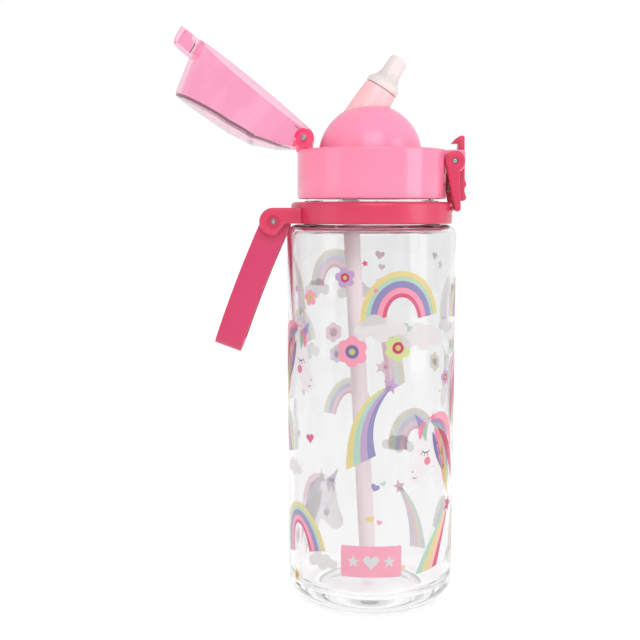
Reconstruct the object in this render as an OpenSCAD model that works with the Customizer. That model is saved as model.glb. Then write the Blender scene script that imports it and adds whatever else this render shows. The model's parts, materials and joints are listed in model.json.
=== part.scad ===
// Kids water bottle with a flip cover, a soft folding spout, a drinking straw and a carry handle.
// Millimetres, +Z up. The origin is the centre of the base, on the surface that the bottle stands on.
// -X is the hinge and handle side, +X is the latch side. The cover is drawn open and the handle hanging out.

/* [Bottle] */
// Outer radius of the bottle at its shoulder
body_r = 35; // [31:0.5:44]
// How much narrower the wall is at the base than at the shoulder
body_draft = 0.6; // [0:0.1:1.5]
// Height of the shoulder above the surface
shoulder_h = 156.6; // [110:1:200]
// Thickness of the bottle's wall
wall = 2; // [1.2:0.1:3]
// Rounding of the shoulder's corner
shoulder_round = 4.5; // [2:0.5:7]
// Rounding of the base's corner
base_round = 9; // [5:0.5:12]
// Thickness of the base over its raised centre
base_t = 4; // [2:0.5:6]
// How far the middle of the base is raised
push_up = 3; // [1:0.5:5]

/* [Neck] */
// Outer radius of the neck under its thread
neck_r = 26.2; // [22:0.2:28]
// Thickness of the neck's wall
neck_wall = 2.4; // [1.6:0.1:3]
// Height of the screw thread's ridge
thread_h = 1.2; // [0.8:0.1:1.6]
// Rise of the thread in one turn
thread_pitch = 5; // [4:0.5:7]
// Radial gap between the neck's thread and the lid's bore
thread_gap = 0.7; // [0.4:0.1:1.2]

/* [Carry ring and handle] */
// Height of the carry ring
ring_h = 8.8; // [6:0.2:12]
// Radial width of the carry ring
ring_w = 5; // [3.5:0.1:6]
// Distance of the handle's pins outside the bottle's wall
pin_out = 5; // [4:0.1:8]
// Half the distance between the ears' outer faces
ear_y = 17.4; // [14:0.2:22]
// Thickness of each ear
ear_t = 3.2; // [2.4:0.1:5]
// Radius of the ears' round ends
ear_r = 5.6; // [4:0.1:7]
// Length of the handle from its pins to its end
handle_l = 54.6; // [40:0.2:70]
// Width of the handle's band
band_w = 11.4; // [8:0.2:14]
// Thickness of the handle's band
band_t = 4.4; // [3:0.1:6]
// Angle of the hanging handle from upright
handle_lean = 20.5; // [5:0.5:60]

/* [Lid] */
// Height of the screw lid
cap_h = 20; // [16:0.5:28]
// Thickness of the lid's skirt
cap_wall = 2.5; // [1.8:0.1:3.5]
// Thickness of the lid's top
cap_top_t = 2.1; // [1.6:0.1:3]
// Radius of the dome under the spout
dome_r = 21.3; // [17:0.1:26]
// Thickness of the dome's shell
dome_t = 2; // [1.4:0.1:3]

/* [Spout and straw] */
// Lean of the spout towards the latch
spout_lean = 32.6; // [20:0.1:45]
// Length of the soft stem between the dome and the mouthpiece
stem_l = 8.2; // [5:0.1:12]
// Radius of the mouthpiece at its root
nozzle_r = 7.05; // [5.5:0.05:8]
// Radius of the mouthpiece near its tip
nozzle_tip_r = 3.75; // [3:0.05:5]
// Length of the mouthpiece
nozzle_l = 14.4; // [10:0.1:18]
// Thickness of the soft silicone
soft_t = 1.3; // [0.8:0.1:1.8]
// Outer radius of the straw
straw_r = 3.4; // [2.8:0.1:4]
// Thickness of the straw's wall
straw_wall = 0.6; // [0.4:0.1:1]
// Lean of the straw from upright
straw_lean = 3; // [0:0.5:6]
// Height of the straw's lower end above the bottle's floor
straw_off = 2.5; // [1:0.5:10]

/* [Cover] */
// Thickness of the clear cover
cover_t = 1.8; // [1.2:0.1:2.4]
// Room for the folded spout between the dome and the cover's crown
spout_room = 5.4; // [4.5:0.1:8]
// Angle that the cover opens
open_angle = 141; // [100:1:150]
// Radius of the hinge's knuckles
knuckle_r = 4.2; // [3.4:0.1:4.4]
// Half the width of the latch tab
tab_y = 6.9; // [6:0.1:8]

/* [Latch] */
// Distance of the latch's pin outside the lid's skirt
latch_out = 2.6; // [2.4:0.1:4]
// Depth of the latch's pin below the lid's top
latch_down = 4.8; // [4.5:0.1:6]
// Length of the lock bail's arms
bail_l = 20.3; // [18:0.1:24]
// Radius of the steel pins
pin_r = 1.15; // [0.8:0.05:1.4]

/* [Hidden] */
$fn = 96;

// Clearances: a turning fit on a pin, a fixed fit on a pin, and free gaps between separate pieces
turn_fit = 0.05;
fixed_fit = 0.03;
gap = 0.3;

// Heights, from the surface up
floor_z = push_up + base_t;
ring_z = shoulder_h + 0.35;
ring_top = ring_z + ring_h;
cap_z = ring_top + 1.25;
cap_top = cap_z + cap_h;
flange_z = cap_top - cap_top_t - 1.8;
mouth_z = flange_z - 2.1;
rim_z = cap_top + 0.45;

// Radii of the neck, ring and lid
neck_bore = neck_r - neck_wall;
collar_r = neck_r + 1.7;
ring_bore = collar_r + gap;
ring_r = ring_bore + ring_w;
cap_bore = neck_r + thread_h + thread_gap;
cap_r = cap_bore + cap_wall;
pin_x = -(max(body_r, ring_r + 1.8) + pin_out);
pin_z = ring_z + 0.85;

// Dome and spout
dome_x = -0.65;
dome_z = cap_top - 2.6;
dome_top = dome_z + dome_r;
aim = [sin(spout_lean), 0, cos(spout_lean)];
// The spout's axis leaves the dome a little to the hinge side of its top
spout_exit = [dome_x + 0.4, 0, dome_top];
root = spout_exit + (stem_l - 0.8) * aim;
straw_top = [dome_x - 9, 0, mouth_z + 0.9];
socket_r = straw_r + 2.55;
spout_foot_r = nozzle_r + 0.9;
spout_hole_r = nozzle_r + 1.3;
vent_r = 1.5;
vent_y = (dome_r + cap_bore) / 2 + 0.4;

// Cover, in the frame of its hinge pin when shut
hinge = [-(cap_r - 2.7), 0, cap_top + 4.5];
cover_r = cap_r - 0.6;
crown = dome_top + spout_room - hinge[2];
reach = cover_r - 5.5 - hinge[0];
lug_y = 4.7;
knuckle_y = 11.5;

// Latch
latch = [cap_r + latch_out, 0, cap_top - latch_down];
lug_in = 6.2;
lug_out = 8.2;
bail_in = 8.5;
bail_out = 11;
bail_boss_r = 4.05;
bail_foot_r = 1.3;
bar_r = 0.9;
// The bar hangs clear of the carry ring, and clear of the thumb plate's end as it swings up
bail_foot = [max(latch[0], ring_r) + 1.2, 0, latch[2] - bail_l + bail_foot_r];
tab_out = latch[0] + 5.2;

function arc(cx, cz, r, a, b, n = 8) =
    [for (i = [0:n]) [cx + r * cos(a + (b - a) * i / n), cz + r * sin(a + (b - a) * i / n)]];

// Rings of points joined into one closed tube, with flat ends
module sweep(rings) {
    n = len(rings[0]);
    m = len(rings);
    polyhedron(
        points = [for (r = rings) each r],
        faces = concat(
            [[for (i = [n - 1:-1:0]) i]],
            [[for (i = [0:n - 1]) (m - 1) * n + i]],
            [for (k = [0:m - 2], i = [0:n - 1]) each [
                [k * n + i, k * n + (i + 1) % n, (k + 1) * n + (i + 1) % n],
                [k * n + i, (k + 1) * n + (i + 1) % n, (k + 1) * n + i]]]),
        convexity = 10);
}

// A trapezium-shaped screw ridge from radius r0 to r1, between two angles, which fades at both ends
module thread_ridge(r0, r1, z0, from, to) {
    step = 10;
    fade = 40;
    rings = [for (a = [from:step:to])
        let (k = max(0.15, min(1, (a - from) / fade, (to - a) / fade)),
             z = z0 + thread_pitch * a / 360,
             rc = r0 + (r1 - r0) * k)
        [for (p = [[r0, -1.2], [rc, -0.5], [rc, 0.5], [r0, 1.2]]) [p[0] * cos(a), p[0] * sin(a), z + p[1]]]];
    sweep(r1 > r0 ? rings : [for (r = rings) [r[3], r[2], r[1], r[0]]]);
}

// Points of a helix about the Z axis
function helix(r, turns, length, steps = 18) =
    [for (i = [0:ceil(turns * steps)]) let (t = i / ceil(turns * steps))
        [r * cos(360 * turns * t), r * sin(360 * turns * t), length * t]];

// A round wire along a path that winds about the Z axis
module wire_along(path, wire_r) {
    sides = 8;
    last = len(path) - 1;
    sweep([for (i = [0:last])
        let (along = path[min(i + 1, last)] - path[max(i - 1, 0)],
             t = along / norm(along),
             side = cross(t, [0, 0, 1]),
             u = side / norm(side),
             v = cross(t, u))
        [for (k = [0:sides - 1]) path[i] + wire_r * (cos(360 * k / sides) * u + sin(360 * k / sides) * v)]]);
}

// Puts children drawn along Z onto an axis along Y, centred on a point
module across(at, length) {
    translate([at[0], at[1] + length / 2, at[2]]) rotate([90, 0, 0]) children();
}

// An outline drawn as [x, z] given a thickness along Y, from y0 to y1
module plate_y(y0, y1) {
    translate([0, y1, 0]) rotate([90, 0, 0]) linear_extrude(height = y1 - y0) children();
}

// The same on both sides of the middle plane
module pair_y(y0, y1) {
    for (side = [[y0, y1], [-y1, -y0]]) plate_y(side[0], side[1]) children();
}

module on_spout(along) {
    translate(root + along * aim) rotate([0, spout_lean, 0]) children();
}

module on_straw(along) {
    translate(straw_top) rotate([0, -straw_lean, 0]) translate([0, 0, along]) children();
}

// Clear bottle, blow moulded with a thick base and a threaded neck
module bottle_body() {
    base_r = body_r - body_draft;
    foot_in = base_r - base_round - 3.4;
    in_round = base_round - wall;
    low = shoulder_h - shoulder_round;
    color([0.93, 0.95, 0.96, 0.3]) union() {
        rotate_extrude() polygon(concat(
            [[0, push_up], [foot_in - 5, push_up], [foot_in, 0]],
            arc(base_r - base_round, base_round, base_round, -90, 0),
            arc(body_r - shoulder_round, low, shoulder_round, 0, 90),
            [[collar_r, shoulder_h], [collar_r, ring_top + 0.5], [neck_r, ring_top + 0.5],
             [neck_r, mouth_z - 0.8], [neck_r - 0.8, mouth_z], [neck_bore + 0.4, mouth_z],
             [neck_bore, mouth_z - 0.4], [neck_bore, shoulder_h + 1]],
            [[collar_r, shoulder_h - wall - 0.4]],
            arc(body_r - shoulder_round, low, shoulder_round - wall, 90, 0),
            arc(base_r - base_round, floor_z + in_round - 0.5, in_round, 0, -90),
            [[0, floor_z]]));
        thread_ridge(neck_r - 0.4, neck_r + thread_h, cap_z + 2.6, 0, 450);
    }
}

// Ring that turns on the neck's collar, with two ears for the handle
module carry_ring() {
    round_r = 1.6;
    color("crimson") difference() {
        union() {
            rotate_extrude() polygon(concat(
                [[ring_bore, ring_z], [ring_r - 0.6, ring_z], [ring_r, ring_z + 0.6]],
                arc(ring_r - round_r, ring_top - round_r, round_r, 0, 90, 6),
                [[ring_bore, ring_top]]));
            pair_y(ear_y - ear_t, ear_y) union() {
                translate([pin_x, pin_z]) circle(r = ear_r);
                translate([pin_x, ring_z + 0.1]) square([-pin_x - ring_bore, ear_r + pin_z - ring_z - 0.1]);
            }
        }
        across([pin_x, 0, pin_z], 50) cylinder(r = pin_r + fixed_fit, h = 50);
        for (side = [-1, 1]) across([pin_x, side * (ear_y + 1), pin_z], 4) cylinder(r = 2.6, h = 4);
    }
}

// U-shaped carry loop, hung from its two pins and leaning away from the wall
module carry_handle() {
    leg_y = ear_y - ear_t - gap;
    inner = band_w / 2 + 1;
    outer = band_w / 2 - 0.9;
    bow = 0.8;
    steps = 10;
    color("crimson") translate([pin_x, 0, pin_z]) rotate([0, handle_lean, 0]) difference() {
        intersection() {
            plate_y(-leg_y, leg_y) union() {
                polygon(concat(
                    [for (i = [0:steps]) let (t = i / steps)
                        [-outer - 0.7 * t - 4 * bow * t * (1 - t), -handle_l * t]],
                    [for (i = [steps:-1:0]) let (t = i / steps)
                        [inner - 1.1 * t - 4 * bow * t * (1 - t), -handle_l * t]]));
                circle(r = outer);
            }
            rotate([0, 90, 0]) translate([0, 0, -20]) linear_extrude(height = 40) difference() {
                loop_outline(leg_y, handle_l, 5);
                loop_outline(leg_y - band_t, handle_l - band_t, 2.5);
            }
        }
        across([0, 0, 0], 50) cylinder(r = pin_r + turn_fit, h = 50);
    }
}

// Outline of the loop seen along X: straight legs with rounded lower corners
module loop_outline(half, length, round_r) {
    translate([-8, -half]) square([8 + length - round_r, 2 * half]);
    translate([0, round_r - half]) square([length, 2 * (half - round_r)]);
    for (side = [-1, 1])
        translate([length - round_r, side * (half - round_r)]) circle(r = round_r);
}

// Two steel pins, pressed into the ears, that the handle turns on
module handle_pins() {
    pin_l = 6.4;
    color("silver") for (side = [-1, 1])
        across([pin_x, side * (ear_y - 1.2 - pin_l / 2), pin_z], pin_l) cylinder(r = pin_r, h = pin_l);
}

// Screw lid: skirt with the inner thread, top ring, hinge lugs and latch lugs
module lid_cap() {
    top_round = 0.8;
    color("hotpink") difference() {
        union() {
            rotate_extrude() polygon(concat(
                [[cap_bore, cap_z], [cap_r - 0.5, cap_z], [cap_r, cap_z + 0.5]],
                arc(cap_r - top_round, cap_top - top_round, top_round, 0, 90, 4),
                [[dome_r - 2, cap_top], [dome_r - 2, cap_top - cap_top_t], [cap_bore, cap_top - cap_top_t]]));
            thread_ridge(cap_bore + 0.4, neck_r + 0.5, cap_z + 0.45, 90, 450);
            // Hinge lugs stand on the top ring, either side of the spring
            pair_y(1.9, lug_y) union() {
                translate([hinge[0], hinge[2]]) circle(r = knuckle_r - 0.2);
                translate([hinge[0] - 2.2, cap_top - 1]) square([5.6, hinge[2] - cap_top + 1]);
            }
            // Latch lugs stand out of the skirt
            pair_y(lug_in, lug_out) polygon([
                [cap_bore + 0.6, cap_top], [tab_out - 1.6, cap_top], [tab_out - 0.8, cap_top - 0.8],
                [tab_out - 0.8, cap_top - 7], [tab_out - 2.6, cap_top - 9], [cap_bore + 0.6, cap_top - 9.6]]);
        }
        across(hinge, 60) cylinder(r = pin_r + fixed_fit, h = 60);
        across(latch, 60) cylinder(r = pin_r + fixed_fit, h = 60);
        // Pockets that the lock bail's bosses turn in
        for (side = [-1, 1])
            across([latch[0], side * 10, latch[2]], 3.6) cylinder(r = bail_boss_r + 0.45, h = 3.6);
        // Round window that the dome stands in, and the seat of the vent valve
        translate([dome_x, 0, cap_top - cap_top_t - 1]) cylinder(r = dome_r + gap, h = 8);
        translate([dome_x, vent_y, cap_top - cap_top_t - 1]) cylinder(r = vent_r, h = 8);
    }
}

// Soft ring that seals the lid on the mouth
module lid_seal() {
    color("white") translate([0, 0, mouth_z + 0.06]) difference() {
        cylinder(r = cap_bore - gap, h = flange_z - mouth_z - 0.12);
        translate([0, 0, -1]) cylinder(r = neck_bore + 0.2, h = 5);
    }
}

// Dome that holds the spout, clipped under the lid's top by its flange
module spout_dome() {
    color("hotpink") difference() {
        union() {
            intersection() {
                translate([dome_x, 0, dome_z]) sphere(r = dome_r);
                translate([-40, -40, flange_z]) cube([80, 80, 60]);
            }
            translate([0, 0, flange_z])
                cylinder(r = cap_bore - 0.2, h = cap_top - cap_top_t - flange_z - 0.05);
        }
        translate([dome_x, 0, dome_z]) sphere(r = dome_r - dome_t);
        on_spout(-stem_l - 14) cylinder(r = spout_hole_r, h = 40);
        translate([dome_x, vent_y, flange_z - 1]) cylinder(r = vent_r, h = 6);
    }
}

// Round plate that closes the underside of the dome
module lid_plate() {
    color("pink") difference() {
        translate([0, 0, mouth_z + 0.1]) cylinder(r = neck_bore - 0.2, h = flange_z - mouth_z - 0.15);
        translate([straw_top[0], 0, mouth_z - 1]) cylinder(r = socket_r + 0.05, h = 6);
    }
}

// Fixed foot of the soft spout, inside the dome
module spout_base() {
    color("mistyrose") difference() {
        intersection() {
            union() {
                translate([straw_top[0], 0, flange_z + 0.1]) cylinder(r = 8.6, h = 1.6);
                on_spout(-40) cylinder(r = spout_foot_r, h = 60);
            }
            // Inside the dome, and through its hole as far as the outside
            union() {
                translate([dome_x, 0, dome_z]) sphere(r = dome_r - dome_t - 0.1);
                on_spout(-stem_l - 13.6) cylinder(r = spout_hole_r - 0.2, h = 30);
            }
            translate([dome_x, 0, dome_z]) sphere(r = dome_r - 0.4);
            translate([-40, -40, flange_z + 0.1]) cube([80, 80, 60]);
        }
        on_spout(-40) cylinder(r = spout_foot_r - soft_t, h = 60);
        translate([straw_top[0], 0, flange_z - 1]) cylinder(r = straw_r, h = 6);
    }
}

// Soft stem that stands out of the dome and folds with the cover
module spout_stem() {
    low_r = nozzle_r + 1;
    high_r = nozzle_r - 0.15;
    color("mistyrose") difference() {
        on_spout(-stem_l - 8) cylinder(r1 = low_r, r2 = high_r, h = stem_l + 7.9);
        on_spout(-stem_l - 9) cylinder(r1 = low_r - soft_t, r2 = high_r - soft_t, h = stem_l + 10);
        translate([dome_x, 0, dome_z]) sphere(r = dome_r + 0.1);
    }
}

// Soft mouthpiece: a flared root and a hollowed taper to a rounded tip
module spout_mouthpiece() {
    waist = nozzle_tip_r + 0.35;
    waist_z = nozzle_l * 0.62;
    root_h = 2.2;
    slit_r = 1.4;
    tip_round = 1.5;
    color("whitesmoke") on_spout(0) rotate_extrude() polygon(concat(
        [[nozzle_r - soft_t, 0], [nozzle_r, 0], [nozzle_r, root_h]],
        [for (i = [1:8]) let (t = i / 8)
            [nozzle_r + (waist - nozzle_r) * sin(90 * t), root_h + (waist_z - root_h) * t * (0.6 + 0.4 * t)]],
        arc(nozzle_tip_r - tip_round, nozzle_l - tip_round, tip_round, 0, 90, 5),
        [[slit_r, nozzle_l], [slit_r, nozzle_l - 2.5], [waist - soft_t, waist_z]]));
}

// Soft socket under the plate that grips the straw
module straw_socket() {
    grip_l = 11;
    color("mistyrose") difference() {
        union() {
            translate([straw_top[0], 0, mouth_z + 0.1]) cylinder(r = socket_r, h = flange_z - mouth_z - 0.15);
            on_straw(-grip_l) cylinder(r = straw_r + 1.5, h = grip_l + 0.2);
        }
        on_straw(-grip_l - 1) cylinder(r = straw_r + fixed_fit, h = 20);
    }
}

// Drinking straw, from its socket to just above the bottle's floor
module straw() {
    straw_l = (straw_top[2] - floor_z - straw_off) / cos(straw_lean) - 0.2;
    color([0.97, 0.95, 0.96]) on_straw(-straw_l) difference() {
        cylinder(r = straw_r, h = straw_l);
        translate([0, 0, -1]) cylinder(r = straw_r - straw_wall, h = straw_l + 2);
    }
}

// Small soft valve that lets air in as the child drinks
module vent_valve() {
    color("white") translate([dome_x, vent_y, 0]) difference() {
        translate([0, 0, flange_z]) cylinder(r = vent_r - fixed_fit, h = cap_top - flange_z - 0.4);
        translate([0, 0, flange_z + 1]) cylinder(r = 0.6, h = 10);
    }
}

// The cover's side profile from hinge to latch, as [x, z] from the pin, drawn in by a wall thickness
function crown_line(t) = [
    [-2.9 + t * 0.8, 3 - t], [1.5 + t * 0.6, crown * 0.352 - t], [6.2 + t * 0.5, crown * 0.536 - t],
    [reach * 0.304, crown * 0.801 - t], [reach * 0.494, crown * 0.908 - t],
    [reach * 0.743, crown * 0.964 - t], [reach * 1.06, crown * 1.003 - t]];

// The space under the crown, which curves across as well as along
module under_crown(t) {
    sag_r = 107;
    line = crown_line(t);
    first = line[0];
    last = line[len(line) - 1];
    translate([hinge[0], 0, hinge[2] + crown - sag_r]) rotate([0, 90, 0]) rotate_extrude()
        polygon(concat([[0, first[0]]], [for (p = line) [p[1] - crown + sag_r, p[0]]], [[0, last[0]]]));
}

// The cover's round wall, which leans in as it rises
module round_wall(t) {
    rotate_extrude() polygon([
        [0, rim_z - t], [cover_r - t, rim_z - t], [cover_r - 1.4 - t, rim_z + 9],
        [cover_r - 5.3 - t, rim_z + 22.3], [cover_r - 6.5 - t, rim_z + 26], [0, rim_z + 26]]);
}

// Clear flip cover with its hinge knuckles and its hollow latch tab
module flip_cover() {
    tab_in = cover_r - 2;
    tab_h = 8;
    tab_wall = 1.4;
    hook_y = 4.6;
    color([0.99, 0.63, 0.76, 0.6])
    translate(hinge) rotate([0, -open_angle, 0]) translate(-hinge)
    difference() {
        union() {
            difference() {
                intersection() {
                    round_wall(0);
                    under_crown(0);
                }
                intersection() {
                    round_wall(cover_t);
                    under_crown(cover_t);
                }
                // The wall stops short of the lid's lugs and top at the hinge
                translate([hinge[0] - 8, -knuckle_y - 0.5, rim_z - 1]) cube([8, 2 * knuckle_y + 1, 5.05]);
            }
            across(hinge, 2 * knuckle_y) cylinder(r = knuckle_r, h = 2 * knuckle_y);
            // Latch tab
            plate_y(-tab_y, tab_y) polygon([
                [tab_in - 1, rim_z], [tab_out, rim_z], [tab_out - 0.6, rim_z + 5],
                [tab_out - 1.5, rim_z + tab_h - 0.8], [tab_out - 2.3, rim_z + tab_h],
                [tab_in - 1, rim_z + tab_h]]);
        }
        intersection() {
            round_wall(cover_t);
            under_crown(cover_t);
            translate([hinge[0] + 6, -50, 0]) cube([100, 100, 400]);
        }
        // The lug between the knuckles, and the pin
        across(hinge, 2 * lug_y + 2 * gap) cylinder(r = knuckle_r + 2.2, h = 2 * lug_y + 2 * gap);
        across(hinge, 60) cylinder(r = pin_r + turn_fit, h = 60);
        for (side = [-1, 1])
            across([hinge[0], side * (knuckle_y + 1), hinge[2]], 4) cylinder(r = 1.9, h = 4);
        // Hollow of the tab, open below and in front of the hook, over a ledge that the hook holds
        plate_y(tab_wall - tab_y, tab_y - tab_wall) polygon([
            [cover_r + 0.2, rim_z + cover_t], [latch[0] - 0.7, rim_z + cover_t], [latch[0] - 0.7, rim_z - 1],
            [tab_out - 1.5, rim_z - 1], [tab_out - 2.1, rim_z + tab_h - 1.5],
            [cover_r - 0.4, rim_z + tab_h - 1.5]]);
        translate([latch[0], -hook_y, rim_z - 1]) cube([12, 2 * hook_y, 7.2]);
    }
}

// Steel pin through the cover's hinge
module cover_hinge_pin() {
    pin_l = 2 * knuckle_y - 2.4;
    color("silver") across(hinge, pin_l) cylinder(r = pin_r, h = pin_l);
}

// Torsion spring round the hinge pin, with a leg on the lid and a leg under the cover
module cover_spring() {
    coil_r = pin_r + 0.9;
    wire_r = 0.35;
    length = 2.6;
    turns = 3 + (open_angle - 90) / 360;
    wound = helix(coil_r, turns, length);
    end = wound[len(wound) - 1];
    along = [-sin(360 * turns), cos(360 * turns), 0];
    path = concat([[coil_r, -4.1, 0], [coil_r, -2, 0]], wound, [end + 3 * along, end + 6.5 * along]);
    color("silver") translate(hinge + [0, -length / 2, 0]) rotate([90, 0, 0])
        wire_along([for (p = path) p - [0, 0, length]], wire_r);
}

// Latch lever: a hook over a hub, and a ribbed thumb plate below
module latch_button() {
    plate_in = latch[0] + 2;
    plate_out = latch[0] + 4.6;
    half = lug_in - gap;
    low = latch[2] - 16;
    color("crimson") difference() {
        union() {
            plate_y(-half, half) union() {
                translate([latch[0], latch[2]]) circle(r = latch_out - gap);
                translate([plate_in, low]) square([plate_out - plate_in, latch[2] - low]);
                translate([latch[0], latch[2] - 2]) square([plate_out - latch[0], 4]);
            }
            plate_y(-4.2, 4.2) polygon([
                [plate_in + 0.2, latch[2]], [plate_in + 0.4, cap_top + 2.7],
                [latch[0] - 0.4, cap_top + 2.7], [latch[0] + 1.2, cap_top + 4.6],
                [latch[0] + 3, cap_top + 5.8], [latch[0] + 4.4, cap_top + 5.6],
                [plate_out, cap_top + 4.6], [plate_out, latch[2]]]);
            // Ribs for the thumb
            for (z = [low + 1.4, low + 6.6]) plate_y(-half, half) polygon([
                [plate_out - 0.5, z - 1.2], [plate_out + 0.2, z - 1.2],
                [plate_out + 0.7, z], [plate_out - 0.5, z + 4]]);
        }
        across(latch, 60) cylinder(r = pin_r + turn_fit, h = 60);
    }
}

// Small compression spring that holds the thumb plate out
module latch_spring() {
    at = latch[2] - 10.4;
    start = cap_r + 0.4;
    color("silver") translate([start, 0, at]) rotate([0, 90, 0])
        wire_along(helix(1.8, 3.5, latch[0] + 1.6 - start), 0.3);
}

// Steel pin through the latch's lugs
module latch_pin() {
    pin_l = 2 * bail_out - 0.8;
    color("silver") across(latch, pin_l) cylinder(r = pin_r, h = pin_l);
}

// Lock bail: two arms and a bar that swings up over the shut cover's tab
module lock_bail() {
    color("crimson") difference() {
        union() {
            pair_y(bail_in, bail_out) union() {
                translate([latch[0], latch[2]]) circle(r = bail_boss_r);
                hull() {
                    translate([latch[0] - 0.6, latch[2] - 4]) circle(r = 2.5);
                    translate([bail_foot[0], bail_foot[2]]) circle(r = bail_foot_r);
                }
            }
            across(bail_foot + [0.2, 0, 0], 2 * bail_in + 1) cylinder(r = bar_r, h = 2 * bail_in + 1);
        }
        across(latch, 60) cylinder(r = pin_r + turn_fit, h = 60);
    }
}

bottle_body();
carry_ring();
carry_handle();
handle_pins();
lid_cap();
lid_seal();
spout_dome();
lid_plate();
spout_base();
spout_stem();
spout_mouthpiece();
straw_socket();
straw();
vent_valve();
flip_cover();
cover_hinge_pin();
cover_spring();
latch_button();
latch_spring();
latch_pin();
lock_bail();
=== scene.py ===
import json
import math

import bmesh
import bpy
from mathutils import Matrix, Vector


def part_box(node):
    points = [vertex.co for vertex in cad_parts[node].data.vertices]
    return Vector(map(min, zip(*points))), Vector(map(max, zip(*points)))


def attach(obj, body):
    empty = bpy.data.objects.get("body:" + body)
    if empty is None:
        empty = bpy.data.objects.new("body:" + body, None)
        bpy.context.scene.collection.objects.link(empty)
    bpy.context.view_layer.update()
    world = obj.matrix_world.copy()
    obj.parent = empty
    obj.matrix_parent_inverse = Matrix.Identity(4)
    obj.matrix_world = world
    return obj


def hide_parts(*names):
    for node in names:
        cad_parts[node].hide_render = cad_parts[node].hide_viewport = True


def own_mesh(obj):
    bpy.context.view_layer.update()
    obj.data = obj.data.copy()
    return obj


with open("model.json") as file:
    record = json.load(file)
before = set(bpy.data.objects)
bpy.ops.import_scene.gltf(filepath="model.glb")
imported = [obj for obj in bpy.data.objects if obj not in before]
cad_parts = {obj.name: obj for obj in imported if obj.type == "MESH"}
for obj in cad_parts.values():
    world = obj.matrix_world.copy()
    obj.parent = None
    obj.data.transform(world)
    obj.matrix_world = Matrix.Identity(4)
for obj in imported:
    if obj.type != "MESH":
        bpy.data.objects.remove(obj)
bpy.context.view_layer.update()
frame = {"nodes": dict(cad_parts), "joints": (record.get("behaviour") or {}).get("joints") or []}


# ---------------------------------------------------------------- Clear bottle
# Blow moulded in clear copolyester, with a thick base raised in the middle and a square shoulder.
# The neck carries a collar for the carry ring and one and a quarter turns of a coarse screw thread.

joint = {j["name"]: j for j in frame["joints"]}


def arc(cx, cz, r, start, end, steps=8):
    """Points of a round stretch in a profile, between two angles in degrees."""
    turn = [math.radians(start + (end - start) * i / steps) for i in range(steps + 1)]
    return [(cx + r * math.cos(a), cz + r * math.sin(a)) for a in turn]


def turned(profile, steps=96, about=(0, 0, 0), along=(0, 0, 1)):
    """A body of revolution from a closed profile of (radius, height) points."""
    bm = bmesh.new()
    rim = [bm.verts.new((r, 0, z)) for r, z in profile]
    edges = [bm.edges.new(pair) for pair in zip(rim, rim[1:] + rim[:1])]
    bmesh.ops.spin(bm, geom=rim + edges, cent=about, axis=along, angle=math.tau, steps=steps,
                   use_merge=True)
    bmesh.ops.remove_doubles(bm, verts=bm.verts, dist=2e-6)
    bmesh.ops.dissolve_degenerate(bm, edges=bm.edges, dist=1e-6)
    bmesh.ops.delete(bm, geom=[e for e in bm.edges if e.is_wire], context="EDGES")
    bmesh.ops.recalc_face_normals(bm, faces=bm.faces)
    return bm


def piece(name, bm, body, material, replaced=(), crease=32):
    """A finished piece: smooth but for its creases, riding on its body, with its finish."""
    bm.normal_update()
    for face in bm.faces:
        face.smooth = True
    for edge in bm.edges:
        edge.smooth = edge.calc_face_angle(0) < math.radians(crease)
    mesh = bpy.data.meshes.new(name)
    bm.to_mesh(mesh)
    bm.free()
    mesh.materials.append(material)
    made = bpy.data.objects.new(name, mesh)
    bpy.context.scene.collection.objects.link(made)
    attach(made, body)
    if replaced:
        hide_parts(*replaced)
    return made


def new_group(name, inputs, outputs):
    """An empty shader node group with named number inputs and outputs."""
    group = bpy.data.node_groups.new(name, "ShaderNodeTree")
    for label, value in inputs:
        given = group.interface.new_socket(label, in_out="INPUT", socket_type="NodeSocketFloat")
        given.default_value = value
    for label in outputs:
        group.interface.new_socket(label, in_out="OUTPUT", socket_type="NodeSocketFloat")
    return group, group.nodes.new("NodeGroupInput"), group.nodes.new("NodeGroupOutput")


def mould_texture():
    """Fine texture of a mould's steel, and the slow cloudiness of the plastic's colour."""
    group, given, out = new_group("mould_texture", [("Grain Scale", 900), ("Cloud Scale", 45)],
                                  ["Grain", "Cloud"])
    add, link = group.nodes.new, group.links.new
    place = add("ShaderNodeTexCoord")
    for label, detail, target in (("Grain Scale", 3, "Grain"), ("Cloud Scale", 2, "Cloud")):
        noise = add("ShaderNodeTexNoise")
        noise.inputs["Detail"].default_value = detail
        link(place.outputs["Object"], noise.inputs["Vector"])
        link(given.outputs[label], noise.inputs["Scale"])
        link(noise.outputs["Fac"], out.inputs[target])
    return group


def handling_marks():
    """Hairline rubs from bags and dishwashers: thin streaks that only roughen the gloss."""
    group, given, out = new_group("handling_marks", [("Scale", 160), ("Amount", 0.5)], ["Mark"])
    add, link = group.nodes.new, group.links.new
    place, squeeze, streak = add("ShaderNodeTexCoord"), add("ShaderNodeMapping"), add("ShaderNodeTexNoise")
    squeeze.inputs["Scale"].default_value = (1, 1, 0.06)
    squeeze.inputs["Rotation"].default_value = (0.5, 0.35, 0.2)
    streak.inputs["Detail"].default_value = 4
    keep, share = add("ShaderNodeMapRange"), add("ShaderNodeMath")
    keep.inputs["From Min"].default_value = 0.56
    keep.inputs["From Max"].default_value = 0.68
    share.operation = "MULTIPLY"
    link(place.outputs["Object"], squeeze.inputs["Vector"])
    link(squeeze.outputs["Vector"], streak.inputs["Vector"])
    link(given.outputs["Scale"], streak.inputs["Scale"])
    link(streak.outputs["Fac"], keep.inputs["Value"])
    link(keep.outputs["Result"], share.inputs[0])
    link(given.outputs["Amount"], share.inputs[1])
    link(share.outputs["Value"], out.inputs["Mark"])
    return group


texture_group = mould_texture()
marks_group = handling_marks()


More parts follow.
